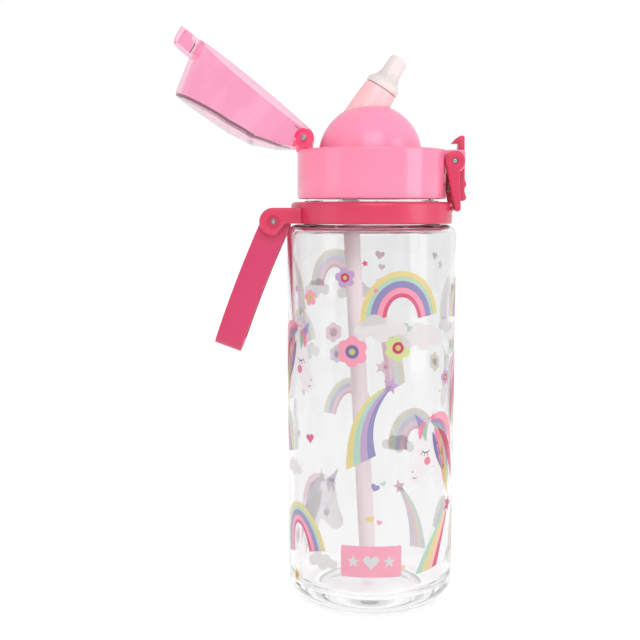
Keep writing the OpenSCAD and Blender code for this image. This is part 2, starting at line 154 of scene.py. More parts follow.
def colour(red, green, blue):
    """A colour as a paint chart gives it, 0 to 255, in the linear light that shaders use."""
    return tuple(((c / 255 + 0.055) / 1.055) ** 2.4 if c > 10 else c / 255 / 12.92
                 for c in (red, green, blue)) + (1.0,)


def plastic(name, low, high, rough=0.3, grain=0.02, grain_scale=900, marks=0.12, **fixed):
    """Moulded plastic or rubber: two close tones, a fine mould texture, and gloss with rubs in it."""
    material = bpy.data.materials.new(name)
    material.use_nodes = True
    tree = material.node_tree
    add, link = tree.nodes.new, tree.links.new
    shader = tree.nodes["Principled BSDF"]
    for label, value in fixed.items():
        shader.inputs[label.replace("_", " ")].default_value = value
    texture, marked = add("ShaderNodeGroup"), add("ShaderNodeGroup")
    texture.node_tree = texture_group
    texture.inputs["Grain Scale"].default_value = grain_scale
    marked.node_tree = marks_group
    marked.inputs["Amount"].default_value = marks
    tone = add("ShaderNodeMix")
    tone.data_type = "RGBA"
    tone.inputs["A"].default_value = colour(*low)
    tone.inputs["B"].default_value = colour(*high)
    gloss = add("ShaderNodeMath")
    gloss.operation = "ADD"
    gloss.inputs[1].default_value = rough
    bump = add("ShaderNodeBump")
    bump.inputs["Strength"].default_value = grain
    bump.inputs["Distance"].default_value = 0.0004
    link(texture.outputs["Cloud"], tone.inputs["Factor"])
    link(tone.outputs["Result"], shader.inputs["Base Color"])
    link(marked.outputs["Mark"], gloss.inputs[0])
    link(gloss.outputs["Value"], shader.inputs["Roughness"])
    link(texture.outputs["Grain"], bump.inputs["Height"])
    link(bump.outputs["Normal"], shader.inputs["Normal"])
    return material


trapped_after = 5


def lets_lamps_through(material, tint):
    """Clear plastic: a faint tinted shadow, and no dark where light is trapped along a thin wall."""
    tree = material.node_tree
    add, link = tree.nodes.new, tree.links.new
    path, clear = add("ShaderNodeLightPath"), add("ShaderNodeBsdfTransparent")
    either = add("ShaderNodeMixShader")
    clear.inputs["Color"].default_value = tint
    deep, open_to = add("ShaderNodeMath"), add("ShaderNodeMath")
    deep.operation = "GREATER_THAN"
    deep.inputs[1].default_value = trapped_after
    open_to.operation = "MAXIMUM"
    link(path.outputs["Ray Depth"], deep.inputs[0])
    link(path.outputs["Is Shadow Ray"], open_to.inputs[0])
    link(deep.outputs["Value"], open_to.inputs[1])
    link(open_to.outputs["Value"], either.inputs["Fac"])
    link(tree.nodes["Principled BSDF"].outputs["BSDF"], either.inputs[1])
    link(clear.outputs["BSDF"], either.inputs[2])
    link(either.outputs["Shader"], tree.nodes["Material Output"].inputs["Surface"])
    return material


clear_plastic = lets_lamps_through(
    plastic("clear_bottle_plastic", (241, 241, 242), (244, 244, 244), rough=0.02, grain=0.012,
            grain_scale=60, marks=0.05, Transmission_Weight=1.0, IOR=1.38, Specular_IOR_Level=0.5),
    (0.97, 0.97, 0.975, 1))

_, body_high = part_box("bottle_body")
body_r = body_high.x
base_r = body_r - 0.0006
wall = 0.002
neck_r = 0.0262
neck_bore = 0.0238
collar_r = 0.0279
shoulder_z = 0.1566
shoulder_round = 0.0045
base_round = 0.009
floor_z = 0.007
mouth_z = body_high.z
collar_top = 0.16625


def thread_ridge(bm, root_r, crest_r, low_z, pitch, turns, half=0.0011):
    """A coarse screw ridge: a small trapezium turned and raised about the axis."""
    outline = [(root_r, low_z - half), (crest_r, low_z - half * 0.4), (crest_r, low_z + half * 0.4),
               (root_r, low_z + half)]
    ring = [bm.verts.new((r, 0, z)) for r, z in outline]
    start = bm.faces.new(ring)
    steps = int(48 * turns)
    grown = bmesh.ops.spin(bm, geom=[start], cent=(0, 0, 0), axis=(0, 0, 1), angle=math.tau * turns,
                           steps=steps, dvec=(0, 0, pitch * turns / steps))
    first = list(start.verts) if start.is_valid else []
    last = [v for v in grown["geom_last"] if isinstance(v, bmesh.types.BMVert)]
    for end in (e for e in (first, last) if e):
        middle = sum((v.co for v in end), Vector()) / len(end)
        bmesh.ops.scale(bm, vec=(0.3, 0.3, 0.3), space=Matrix.Translation(-middle), verts=end)


bottle = turned(
    [(0, 0.003), (0.0165, 0.003), (0.0195, 0.0016), (0.022, 0), (0.0245, 0)]
    + arc(base_r - base_round, base_round, base_round, -86, 0, 12)
    + arc(body_r - shoulder_round, shoulder_z - shoulder_round, shoulder_round, 0, 90, 8)
    + [(collar_r + 0.0004, shoulder_z), (collar_r, shoulder_z + 0.0004), (collar_r, collar_top - 0.0004),
       (collar_r - 0.0004, collar_top), (neck_r, collar_top), (neck_r, mouth_z - 0.0008)]
    + arc(neck_r - 0.0008, mouth_z - 0.0008, 0.0008, 0, 90, 3)
    + [(neck_bore + 0.0004, mouth_z), (neck_bore, mouth_z - 0.0004), (neck_bore, shoulder_z + 0.0012)]
    + arc(neck_bore + 0.0034, shoulder_z + 0.001, 0.0034, 180, 270, 5)
    + arc(body_r - shoulder_round, shoulder_z - shoulder_round, shoulder_round - wall, 90, 0, 6)
    + arc(base_r - base_round, floor_z + base_round - wall - 0.0005, base_round - wall, 0, -90, 10)
    + [(0, floor_z)],
    steps=128)
thread_ridge(bottle, neck_r - 0.0003, neck_r + 0.0012, 0.1696, 0.005, 1.25)
bmesh.ops.recalc_face_normals(bottle, faces=bottle.faces)
piece("clear_bottle", bottle, "bottle", clear_plastic, ["bottle_body"])


# ---------------------------------------------------------------- Printed pictures and badge
# Ink screened on the outside of the wall over a pale underbase, all the way round, and a pink badge with no
# words low at the front. Each shape is drawn flat, in millimetres round the wall and up it, and wrapped on.

print_ink = plastic("print_ink", (255, 255, 255), (243, 243, 243), rough=0.36, grain=0.05, grain_scale=2200,
                    Subsurface_Weight=0.35, Subsurface_Scale=0.001, Subsurface_Radius=(1, 1, 1))
nodes, links = print_ink.node_tree.nodes, print_ink.node_tree.links
pot, mixed = nodes.new("ShaderNodeAttribute"), nodes.new("ShaderNodeMix")
pot.attribute_name = "ink"
mixed.data_type = "RGBA"
mixed.blend_type = "MULTIPLY"
mixed.inputs["Factor"].default_value = 1
tone_out = nodes["Principled BSDF"].inputs["Base Color"].links[0].from_socket
links.new(tone_out, mixed.inputs["A"])
links.new(pot.outputs["Color"], mixed.inputs["B"])
links.new(mixed.outputs["Result"], nodes["Principled BSDF"].inputs["Base Color"])

gold, mint, violet = (226, 206, 122), (164, 208, 184), (125, 116, 178)
rose, crimson, lilac = (248, 140, 168), (214, 52, 100), (184, 146, 196)
cloud_white, coat_white, peach = (228, 223, 222), (240, 234, 236), (246, 190, 164)
rainbow_inks = (gold, mint, violet, rose, crimson)
lash_brown = (120, 70, 96)
round_r = 34.8
ink_t = 0.00001
ink_gap = 0.00002
ink_step = 0.000012
printed = bmesh.new()
printed.loops.layers.float_color.new("ink")


def slab(outline, near, far, edge=0.0, segments=3):
    """A flat moulding: an outline of (x, z) points made thick along Y, with its edges rounded."""
    bm = bmesh.new()
    face = bm.faces.new([bm.verts.new((x, near, z)) for x, z in outline])
    bm.normal_update()
    bmesh.ops.solidify(bm, geom=[face], thickness=far - near)
    bmesh.ops.recalc_face_normals(bm, faces=bm.faces)
    shift = near - min(v.co.y for v in bm.verts)
    bmesh.ops.translate(bm, vec=(0, shift, 0), verts=bm.verts)
    return rounded(bm, edge, segments)


def rounded(bm, edge, segments=3, sharper=40):
    """Rounds every edge that is sharper than a given angle."""
    if edge:
        sharp = [e for e in bm.edges if e.calc_face_angle(0) > math.radians(sharper)]
        bmesh.ops.bevel(bm, geom=sharp, offset=edge, offset_type="OFFSET", segments=segments,
                        profile=0.5, affect="EDGES", clamp_overlap=True, material=-1)
    return bm


def ink(outline, tint, layer=0):
    """Prints one shape; its inner side shows the pale underbase."""
    flat = slab([(u / 1000, v / 1000) for u, v in outline], -ink_t, 0)
    bmesh.ops.triangulate(flat, faces=flat.faces)
    step = 0.0015
    first = math.ceil(min(v.co.x for v in flat.verts) / step)
    last = math.floor(max(v.co.x for v in flat.verts) / step)
    for i in range(first, last + 1):
        bmesh.ops.bisect_plane(flat, geom=flat.verts[:] + flat.edges[:] + flat.faces[:], dist=1e-7,
                               plane_co=(i * step, 0, 0), plane_no=(1, 0, 0))
    flat.normal_update()
    coat = flat.loops.layers.float_color.new("ink")
    pale = [c + (238 - c) * 0.6 for c in tint]
    for face in flat.faces:
        shown = colour(*(pale if face.normal.y > 0.5 else tint))
        for corner in face.loops:
            corner[coat] = shown
    for vert in flat.verts:
        turn, z = vert.co.x * 1000 / round_r, vert.co.z
        share = (z - base_round) / (shoulder_z - shoulder_round - base_round)
        r = base_r + (body_r - base_r) * share + ink_gap + layer * ink_step - vert.co.y
        vert.co = (r * math.sin(turn), -r * math.cos(turn), z)
    sheet = bpy.data.meshes.new("sheet")
    flat.to_mesh(sheet)
    flat.free()
    printed.from_mesh(sheet)


def at(angle, z):
    """Millimetres round the wall, from degrees round it."""
    return Vector((math.radians(angle) * round_r, z))


def puff(middle, circles, tint, layer=0, steps=72):
    """A soft shape, the outline of several circles seen from its middle: clouds and petals."""
    outline = []
    for i in range(steps):
        ray = Vector((math.cos(math.tau * i / steps), math.sin(math.tau * i / steps)))
        far = 0.1
        for du, dv, r in circles:
            along = ray.dot(Vector((du, dv)))
            off = du * du + dv * dv - along * along
            if off < r * r:
                far = max(far, along + math.sqrt(r * r - off))
        outline.append(tuple(middle + far * ray))
    ink(outline, tint, layer)


def cloud(angle, z, wide, layer=4, tint=cloud_white):
    w = wide
    puff(at(angle, z), [(-0.33 * w, -0.03 * w, 0.15 * w), (-0.12 * w, 0.07 * w, 0.19 * w),
                        (0.13 * w, 0.04 * w, 0.18 * w), (0.34 * w, -0.03 * w, 0.14 * w),
                        (0, -0.08 * w, 0.16 * w)], tint, layer)


def dot(middle, r, tint, layer=0, steps=28):
    puff(middle, [(0, 0, r)], tint, layer, steps)


def flower(angle, z, r, petals, centre, count=6):
    """Round petals in a ring, with two round spots in the middle."""
    turns = [math.tau * i / count + 0.5 for i in range(count)]
    ring_of = [(0.58 * r * math.cos(a), 0.58 * r * math.sin(a), 0.4 * r) for a in turns]
    puff(at(angle, z), ring_of, petals, 1)
    dot(at(angle, z), 0.42 * r, centre, 2)
    dot(at(angle, z), 0.2 * r, gold, 3)


def star(angle, z, r, tint, turn=0, layer=5):
    middle = at(angle, z)
    tips = []
    for i in range(10):
        a = math.radians(90 + turn + 36 * i)
        reach_out = r if i % 2 == 0 else 0.46 * r
        tips.append(tuple(middle + reach_out * Vector((math.cos(a), math.sin(a)))))
    ink(tips, tint, layer)


def heart(angle, z, size, tint, lean=0, layer=1):
    middle, turn, line = at(angle, z), Matrix.Rotation(math.radians(lean), 2), []
    for i in range(36):
        a = math.tau * i / 36
        across = 16 * math.sin(a) ** 3
        up = 13 * math.cos(a) - 5 * math.cos(2 * a) - 2 * math.cos(3 * a) - math.cos(4 * a)
        line.append(tuple(middle + turn @ Vector((across, up)) * size / 32))
    ink(line, tint, layer)


def rainbow(angle, z, half, tall, lean=0, shares=(0.131, 0.101, 0.155, 0.131, 0.095), inks=rainbow_inks):
    """A leaning arch of five bands, wider than a half round and open below."""
    middle, turn = at(angle, z), Matrix.Rotation(math.radians(lean), 2)
    wide, high = half, tall
    turns = [math.radians(6 * i) for i in range(31)]
    for tint, share in zip(inks, shares):
        edge = [(wide * math.cos(a), high * math.sin(a)) for a in turns]
        wide -= share * half
        high -= share * half
        edge += [(wide * math.cos(a), high * math.sin(a)) for a in turns[::-1]]
        ink([tuple(middle + turn @ Vector(point)) for point in edge], tint)
        wide += 0.02
        high += 0.02


def bent(start, bend, end, t):
    """A point on a line that leaves its start towards the bend and comes to its end from it."""
    return (1 - t) ** 2 * start + 2 * t * (1 - t) * bend + t * t * end


def shooting_star(head, r, near_end, far_end, near_bend, far_bend, inks, tint):
    """A star with a tail whose bands spread from it between two bent edges."""
    top = at(*head)
    steps = [i / 14 for i in range(15)]
    for i, band in enumerate(inks):
        sides = []
        for share in (i / len(inks), (i + 1) / len(inks)):
            end = near_end + (far_end - near_end) * share
            bend = near_bend + (far_bend - near_bend) * share
            sides.append([tuple(bent(top + Vector((1.2 * share - 0.6, 0.3 - 0.6 * share)), bend, end, t))
                          for t in steps])
        ink(sides[0] + sides[1][::-1], band)
    star(head[0], head[1], r, tint, -18)


def lock(start, bend, end, width, tint, layer, place):
    """One lock of hair or one fine line: thick in the middle and drawn out at both ends."""
    sides = ([], [])
    for i in range(13):
        t = i / 12
        here = bent(Vector(start), Vector(bend), Vector(end), t)
        run = bent(Vector(start), Vector(bend), Vector(end), t + 0.01) - here
        across = Vector((-run.y, run.x)).normalized() * width * (0.06 + math.sin(math.pi * t) ** 0.8) / 2
        sides[0].append(place(here + across))
        sides[1].append(place(here - across))
    ink(sides[0] + sides[1][::-1], tint, layer)


def smooth_line(points, steps=5):
    """A closed line that runs smoothly through its points."""
    line = []
    for i in range(len(points)):
        a, b, c, d = (Vector(points[(i + k) % len(points)]) for k in (-1, 0, 1, 2))
        for t in (s / steps for s in range(steps)):
            line.append(0.5 * (2 * b + (c - a) * t + (2 * a - 5 * b + 4 * c - d) * t * t
                               + (3 * b - a - 3 * c + d) * t ** 3))
    return line


def unicorn(angle, z, facing, size=1.0):
    """A sleepy unicorn's head and mane, drawn from its eye; facing is -1 to the left and 1 to the right."""
    eye = at(angle, z)

    def place(point):
        return (eye.x - facing * size * point[0], eye.y + size * point[1])

    head = [(-1, 10), (-4.4, 6.5), (-5.6, 1), (-7.2, -4.6), (-8.8, -8.6), (-8.4, -11.8), (-5.4, -13.2),
            (-2, -11.6), (1, -8.4), (4.2, -7.2), (5.6, -11), (8, -16), (13, -18), (14.6, -8), (13, 4),
            (9, 10), (4, 12)]
    ink([place(p) for p in smooth_line(head)], coat_white, 0)
    for shape, tint, layer in (([(-6.7, 15.5), (-3.9, 8.2), (-0.4, 10.4)], violet, 2),
                               ([(3.2, 17), (0.8, 10.4), (5.4, 9.6)], coat_white, 2),
                               ([(3.1, 15), (2.0, 11), (4.4, 10.4)], rose, 3)):
        ink([place(p) for p in shape], tint, layer)
    for start, bend, end, width, tint in (
            ((0.5, 12.5), (15, 16), (18, -2), 4.4, rose), ((1.5, 11.5), (14, 11), (14, -9), 4.4, lilac),
            ((2.5, 10.5), (12, 8), (16.5, -17), 4.2, mint), ((4, 8.5), (9, 2), (11.5, -15), 4.0, rose),
            ((6.5, 8), (17, 0), (19.5, -15), 4.0, crimson), ((8, 5), (10, -6), (15.5, -21), 3.6, gold),
            ((3, 7), (5.8, -1), (9.5, -9), 3.0, violet), ((-0.5, 12), (-4.6, 9), (-3.4, 4.6), 2.6, rose),
            ((0.6, 12), (-2.6, 8), (-0.6, 3.6), 2.2, mint)):
        lock(start, bend, end, width, tint, 4 if width > 4.1 else 6, place)
    for start, bend, end, width in (
            ((-3, 0.4), (-0.8, -2.2), (1.8, 0.2), 0.5), ((-2.4, -0.4), (-3, -1.2), (-3.6, -1.6), 0.3),
            ((-1.2, -1), (-1.5, -2), (-1.9, -2.4), 0.3), ((0.2, -0.9), (0.2, -1.9), (0, -2.5), 0.3),
            ((-7.4, -10.2), (-6.2, -11), (-5.2, -10.4), 0.35)):
        lock(start, bend, end, width, lash_brown, 8, place)
    puff(Vector(place((0.2, -4.4))), [(0, 0, 1.7 * size)], rose, 2, 24)
    puff(Vector(place((-7.2, -8))), [(0, 0, 0.32 * size)], lash_brown, 3, 12)


for arch in ((18.3, 119.6, 16.8, 19.5, 7.6), (-57.0, 23.4, 14.5, 20.5, 12), (-88.0, 62, 13, 19, 10),
             (88, 118, 15, 18, -8), (96, 22, 14, 19, 6), (137.7, 56, 15.5, 19, -6),
             (197.5, 70, 12, 18, 14), (246, 104, 13.5, 17, -10)):
    rainbow(*arch)
rainbow(207.1, 129.0, 13.5, 17, 6, inks=(gold, mint, lilac, rose, crimson))
for white_cloud in ((4, 116.6, 22), (34.5, 112.8, 22), (-36.4, 22.0, 15), (-67.1, 57.5, 14), (74, 113, 16),
                    (102, 114, 16), (76, 19, 14), (190, 126.5, 18), (224, 128.5, 17), (121, 54, 17),
                    (155, 57.5, 17), (232, 101, 15)):
    cloud(*white_cloud)
lime = (206, 216, 130)
for bloom in ((-14.7, 107.6, 6.4, rose, violet), (15.1, 109.1, 5.6, lime, crimson),
              (-19.4, 136.4, 4.2, lilac, crimson, 5), (57, 95.5, 3.6, lilac, crimson, 5),
              (72, 108, 4.2, mint, rose), (-63.3, 12.5, 2.8, gold, crimson, 5),
              (-46, 128, 3.4, rose, gold, 5), (88, 64, 4.2, rose, lilac), (126.4, 64, 4.2, rose, lilac),
              (207.2, 108.5, 4.6, rose, crimson), (203.9, 98.7, 4.2, lilac, rose),
              (119.6, 97, 4.4, gold, crimson), (150, 108, 5.0, mint, rose), (262, 79, 4.6, violet, gold),
              (255, 22, 4.0, rose, violet)):
    flower(*bloom)
for small_star in ((0.5, 131.5, 1.2, rose), (-6.5, 142, 1.5, crimson, 12), (50, 90.5, 1.4, gold, 10),
                   (-61, 131, 1.8, lilac, 20), (20, 21, 1.4, gold, 8), (113.9, 139.5, 2.6, lilac, 10),
                   (168.9, 92.1, 3.4, rose, 12), (240, 84, 2.6, gold, 8), (268, 36, 2.4, crimson, 14)):
    star(*small_star)
for small_heart in ((-46.8, 71.5, 4.4, crimson, 8), (0.6, 53.9, 3.6, violet, -20), (5.8, 55.4, 2.2, mint, 20),
                    (-2.6, 41.0, 3.4, gold, 10), (3.4, 39.8, 2.4, rose, -18), (74, 131, 4.0, rose, -12),
                    (170, 131, 4.0, rose, -12), (170.9, 143.0, 4.4, crimson, 10),
                    (169.3, 137.6, 3.2, rose, 10), (121.6, 143.2, 3.8, violet, 10), (250, 66, 4.4, crimson)):
    heart(*small_heart)
for horse in ((38.0, 67.4, -1), (-57.4, 103.2, 1), (96, 91, 1, 0.95), (213.4, 31.2, -1)):
    unicorn(*horse)
shooting_star((10.6, 94.3), 3.6, at(-18.6, 60.6), at(1.1, 66.7), Vector((-11.5, 88)), Vector((-3.5, 82)),
              (gold, mint, lilac, violet), lilac)
shooting_star((63.6, 42.7), 3.8, at(29.1, 17.2), at(48.8, 18.9), Vector((25.5, 34)), Vector((34, 31)),
              (mint, gold, peach, crimson), crimson)
shooting_star((176, 118), 3.4, at(150, 86), at(166, 80), at(154, 110), at(166, 104),
              (gold, mint, rose, crimson), rose)
shooting_star((154.1, 38), 3.4, at(128, 12), at(144, 11), at(134, 30), at(144, 27),
              (mint, gold, rose, lilac), crimson)
shooting_star((262, 143), 3.2, at(236, 120), at(250, 117), at(240, 138), at(251, 134),
              (gold, mint, violet, rose), violet)


def plate_outline(low_u, high_u, low_v, high_v, r):
    """A rectangle with rounded corners."""
    return (arc(low_u + r, low_v + r, r, 180, 270) + arc(high_u - r, low_v + r, r, 270, 360)
            + arc(high_u - r, high_v - r, r, 0, 90) + arc(low_u + r, high_v - r, r, 90, 180))


badge_pink = (250, 150, 178)
badge_middle, badge_z = -1.7, 23.8
ink(plate_outline(-13.4, 11.3, 17.5, 30.2, 0.8), badge_pink, 3)
heart(badge_middle, badge_z, 6.4, coat_white, 0, 6)
for side in (-1, 1):
    star(badge_middle + side * 11.9, badge_z, 2.6, coat_white, 0, 6)
piece("printed_ink", printed, "bottle", print_ink)


# ---------------------------------------------------------------- Carry ring, its pins and the handle
# One pink moulding: a ring that turns on the neck's collar, with two ears that hold short steel pins.
# The handle is a flat band bent to a U, moulded in the same plastic with a satin skin.

pink_skin = dict(Coat_Weight=0.25, Coat_Roughness=0.25, Subsurface_Weight=0.06, Subsurface_Scale=0.003)
ring_pink = plastic("ring_pink_plastic", (196, 35, 76), (207, 46, 87), rough=0.32, grain=0.05, **pink_skin)
handle_pink = plastic("handle_pink_plastic", (192, 36, 86), (203, 47, 97), rough=0.4, grain=0.09,
                      grain_scale=1400, **pink_skin)

pin_at = Vector(joint["handle_swing"]["pos_m"])
pin_r = 0.00115
ring_low = 0.15695
ring_top = 0.16575
ring_bore = 0.0282
ring_r = 0.0332
ear_r = 0.0056
ear_out = 0.0174
ear_in = 0.0142


def rod(centre, along, length, radius, edge=0.0, sides=48):
    """A plain round rod or cutter, centred on a point."""
    bm = bmesh.new()
    bmesh.ops.create_cone(bm, cap_ends=True, segments=sides, radius1=radius, radius2=radius, depth=length)
    rounded(bm, edge)
    turn = Vector((0, 0, 1)).rotation_difference(Vector(along)).to_matrix().to_4x4()
    bmesh.ops.transform(bm, matrix=Matrix.Translation(centre) @ turn, verts=bm.verts)
    return bm


def combined(body, others, how="UNION"):
    """One closed moulding from several: the others joined to the body, or cut out of it."""
    def as_object(bm):
        mesh = bpy.data.meshes.new("blank")
        bm.to_mesh(mesh)
        bm.free()
        made = bpy.data.objects.new("blank", mesh)
        bpy.context.scene.collection.objects.link(made)
        return made
    blank = as_object(body)
    tools = [as_object(bm) for bm in others]
    for tool in tools:
        step = blank.modifiers.new("step", "BOOLEAN")
        step.operation = how
        step.solver = "EXACT"
        step.object = tool
    shaped = bpy.data.meshes.new_from_object(blank.evaluated_get(bpy.context.evaluated_depsgraph_get()))
    result = bmesh.new()
    result.from_mesh(shaped)
    for made in [blank] + tools:
        bpy.data.objects.remove(made)
    bmesh.ops.remove_doubles(result, verts=result.verts, dist=2e-6)
    return result


def both_sides(outline, near, far, edge=0.0):
    """The same slab on the front and on the back."""
    return [slab(outline, near, far, edge), slab(outline, -far, -near, edge)]


ring = turned(
    [(ring_bore, ring_low + 0.0003), (ring_bore + 0.0003, ring_low), (ring_r - 0.0006, ring_low)]
    + arc(ring_r - 0.0006, ring_low + 0.0006, 0.0006, -60, 0, 3)
    + arc(ring_r - 0.0016, ring_top - 0.0016, 0.0016, 0, 90, 6)
    + [(ring_bore + 0.0003, ring_top), (ring_bore, ring_top - 0.0003)], steps=128)
ear = (arc(pin_at.x, pin_at.z, ear_r, 90, 270, 20)
       + [(pin_at.x + 0.001, pin_at.z - ear_r), (pin_at.x + 0.005, ring_low + 0.0001),
          (-ring_bore - 0.0002, ring_low + 0.0001), (-ring_bore - 0.0002, pin_at.z + ear_r)])
ring = combined(ring, both_sides(ear, ear_in, ear_out, 0.0007))
recesses = [rod((pin_at.x, side * (ear_out + 0.001), pin_at.z), (0, 1, 0), 0.004, 0.0026)
            for side in (-1, 1)]
ring = combined(ring, recesses + [rod(pin_at, (0, 1, 0), 0.05, pin_r + 0.00004, sides=32)], "DIFFERENCE")
piece("neck_ring", ring, "ring", ring_pink, ["carry_ring"])


def steel(name, rough):
    """Ground stainless steel: a grey metal with a fine grain and streaky rubs in its gloss."""
    return plastic(name, (150, 148, 150), (196, 194, 196), rough=rough, grain=0.15, grain_scale=2600,
                   marks=0.25, Metallic=1.0)


pin_steel = steel("pin_steel", 0.24)
spring_steel = steel("spring_steel", 0.3)

for side, name in ((-1, "handle_pin_front"), (1, "handle_pin_back")):
    pin = rod((pin_at.x, side * 0.013, pin_at.z), (0, 1, 0), 0.0064, pin_r, 0.0003, 32)
    dimple = bmesh.new()
    bmesh.ops.create_icosphere(dimple, subdivisions=3, radius=0.0009)
    bmesh.ops.translate(dimple, vec=(pin_at.x, side * 0.0166, pin_at.z), verts=dimple.verts)
    pin = combined(pin, [dimple], "DIFFERENCE")
    piece(name, pin, "ring", pin_steel, ["handle_pins"])

band_w = 0.0114
band_t = 0.0044
handle_l = 0.0546
leg_out = 0.0139
handle_lean = math.radians(20.5)


def handle_side(length, low_x, high_x, bow=0.0008, steps=12):
    """The band seen from the side: two long edges that bow a little away from the bottle."""
    edges = []
    for start, narrow, order in ((low_x, -0.0007, range(steps + 1)),
                                 (high_x, -0.0011, range(steps, -1, -1))):
        for i in order:
            t = i / steps
            edges.append((start + narrow * t - 4 * bow * t * (1 - t), -length * t))
    return edges


def loop_side(half, length, round_r):
    """The loop seen from the hinge side: straight legs and rounded lower corners."""
    return ([(-half, 0.008)] + arc(-half + round_r, -length + round_r, round_r, 180, 270, 8)
            + arc(half - round_r, -length + round_r, round_r, 270, 360, 8) + [(half, 0.008)])


def across_x(outline, near, far):
    """A slab whose outline is (y, z) and whose thickness is along X."""
    bm = slab(outline, near, far)
    bmesh.ops.transform(bm, matrix=Matrix.Rotation(math.radians(-90), 4, "Z"), verts=bm.verts)
    bmesh.ops.recalc_face_normals(bm, faces=bm.faces)
    return bm


eye_r = band_w / 2 - 0.0009
past = 0.002
side_view = handle_side(handle_l + past, -eye_r, band_w / 2 + 0.001)
side_view += arc(0.0009, -0.0009, 0.0058, 9, 171, 16)
strap = slab(side_view, -leg_out - past, leg_out + past)
strap = combined(strap, [across_x(loop_side(leg_out, handle_l, 0.005), -0.02, 0.02)], "INTERSECT")
window = across_x(loop_side(leg_out - band_t, handle_l - band_t, 0.0025), -0.02, 0.02)
strap = combined(strap, [window], "DIFFERENCE")
bmesh.ops.dissolve_limit(strap, angle_limit=math.radians(0.5), verts=strap.verts, edges=strap.edges)
rounded(strap, 0.0013, 5)
strap = combined(strap, [rod((0, 0, 0), (0, 1, 0), 0.05, pin_r + 0.00006, sides=32)], "DIFFERENCE")
bmesh.ops.transform(strap, verts=strap.verts,
                    matrix=Matrix.Translation(pin_at) @ Matrix.Rotation(handle_lean, 4, "Y"))
piece("carry_strap", strap, "handle", handle_pink, ["carry_handle"])


# ---------------------------------------------------------------- Lid
# Screw lid in glossy light pink: a skirt with a rounded top edge, lugs for the cover's hinge and for the
# latch, a soft seal under it and, clipped in its window, the dome that the spout comes out of.

lid_pink = plastic("lid_pink_plastic", (244, 124, 157), (248, 134, 166), rough=0.17, grain=0.015,
                   marks=0.06, Coat_Weight=0.5, Coat_Roughness=0.06, Subsurface_Weight=0.12,
                   Subsurface_Scale=0.004)
dome_pink = plastic("dome_pink_plastic", (248, 136, 170), (252, 146, 180), rough=0.27, grain=0.03,
                    marks=0.06, Coat_Weight=0.25, Coat_Roughness=0.15, Subsurface_Weight=0.12,
                    Subsurface_Scale=0.004)
soft_white = plastic("seal_silicone", (232, 228, 228), (242, 238, 238), rough=0.45, grain=0.06,
                     Subsurface_Weight=0.3, Subsurface_Scale=0.003)

hinge = Vector(joint["cover_hinge"]["pos_m"])
latch = Vector(joint["latch_press"]["pos_m"])
cap_low = 0.167
cap_top = 0.187
cap_bore = 0.0281
cap_r = 0.0306
cap_top_t = 0.0021
flange_z = 0.1831
dome_x = -0.00065
dome_z = 0.1844
dome_r = 0.0213
dome_t = 0.002
tab_out = latch.x + 0.0052
vent_at = Vector((dome_x, 0.0251, 0))
vent_r = 0.0015

cap = turned(
    [(cap_bore, cap_low + 0.0003), (cap_bore + 0.0003, cap_low)]
    + arc(cap_r - 0.0005, cap_low + 0.0005, 0.0005, -90, 0, 3)
    + arc(cap_r - 0.0009, cap_top - 0.0009, 0.0009, 0, 90, 6)
    + [(dome_r - 0.003, cap_top), (dome_r - 0.003, cap_top - cap_top_t), (cap_bore, cap_top - cap_top_t)],
    steps=144)
hinge_lug = (arc(hinge.x, hinge.z, 0.004, 0, 180, 16)
             + [(hinge.x - 0.003, cap_top - 0.001), (hinge.x + 0.0034, cap_top - 0.001)])
latch_lug = [(cap_bore + 0.0006, cap_top - 0.0002), (tab_out - 0.0016, cap_top - 0.0002),
             (tab_out - 0.0008, cap_top - 0.001), (tab_out - 0.0008, cap_top - 0.007),
             (tab_out - 0.0026, cap_top - 0.009), (cap_bore + 0.0006, cap_top - 0.0096)]
cap = combined(cap, both_sides(hinge_lug, 0.0019, 0.0047, 0.0003)
               + both_sides(latch_lug, 0.0062, 0.0082, 0.0004))
cap = combined(cap, [rod((dome_x, 0, cap_top), (0, 0, 1), 0.012, dome_r + 0.0003, sides=128),
                     rod(vent_at + Vector((0, 0, cap_top)), (0, 0, 1), 0.012, vent_r, sides=32),
                     rod(hinge, (0, 1, 0), 0.04, pin_r + 0.00004, sides=32),
                     rod(latch, (0, 1, 0), 0.04, pin_r + 0.00004, sides=32)]
               + [rod((latch.x, side * 0.01, latch.z), (0, 1, 0), 0.0036, 0.0045, sides=64)
                  for side in (-1, 1)], "DIFFERENCE")
thread_ridge(cap, cap_bore + 0.0003, neck_r + 0.0005, 0.1687, 0.005, 1.0)
piece("screw_cap", cap, "lid", lid_pink, ["lid_cap"])

seal = turned([(neck_bore + 0.0002, mouth_z + 0.00016), (neck_bore + 0.0004, mouth_z + 0.00006),
               (cap_bore - 0.0005, mouth_z + 0.00006), (cap_bore - 0.0003, mouth_z + 0.0003),
               (cap_bore - 0.0003, flange_z - 0.0003), (cap_bore - 0.0005, flange_z - 0.00006),
               (neck_bore + 0.0004, flange_z - 0.00006), (neck_bore + 0.0002, flange_z - 0.0002)])
piece("seal_ring", seal, "seal", soft_white, ["lid_seal"])

spout_lean = math.radians(32.6)
aim = Vector((math.sin(spout_lean), 0, math.cos(spout_lean)))
stem_l = 0.0082
dome_top = dome_z + dome_r
root = Vector((dome_x + 0.0004, 0, dome_top)) + (stem_l - 0.0008) * aim
nozzle_r = 0.00705
nozzle_tip_r = 0.00375
nozzle_l = 0.0144
soft_t = 0.0013


